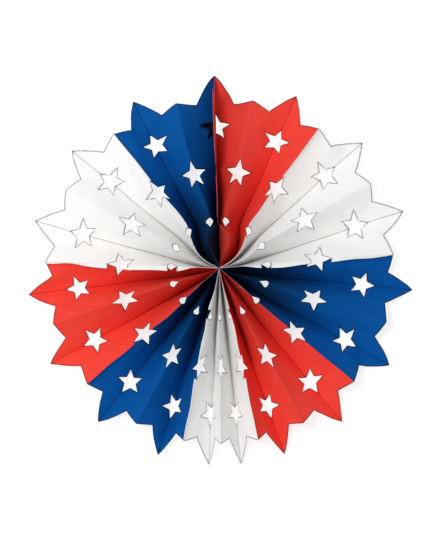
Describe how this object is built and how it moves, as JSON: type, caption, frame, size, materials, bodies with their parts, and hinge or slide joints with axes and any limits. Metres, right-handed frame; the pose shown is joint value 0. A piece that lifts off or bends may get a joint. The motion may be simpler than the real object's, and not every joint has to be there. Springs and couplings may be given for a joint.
{
  "type": "pleated paper star fan",
  "caption": "Round accordion-pleated paper fan in red, white and blue, with a pointed rim and stars cut over its folds; hangs or lies flat as a party decoration.",
  "frame": {"origin": "middle of the hub, in the plane that the back folds lie in", "axes": "+Z along the fan's axis toward the viewer, +Y up as it hangs with its seam on top, +X to the viewer's right"},
  "size_m": [0.6315, 0.6343, 0.069],
  "materials": {
    "red_paper": "matt coloured paper",
    "white_paper": "matt white paper",
    "blue_paper": "matt coloured paper",
    "thread": "plain cotton thread"
  },
  "bodies": {
    "root": {"red_sheet_top": "red_paper", "white_sheet_right": "white_paper", "blue_sheet_right": "blue_paper", "red_sheet_lower_right": "red_paper", "white_sheet_bottom": "white_paper", "blue_sheet_lower_left": "blue_paper", "red_sheet_left": "red_paper", "white_sheet_left": "white_paper", "blue_sheet_top": "blue_paper", "hub_loop": "thread"}
  },
  "joints": []
}
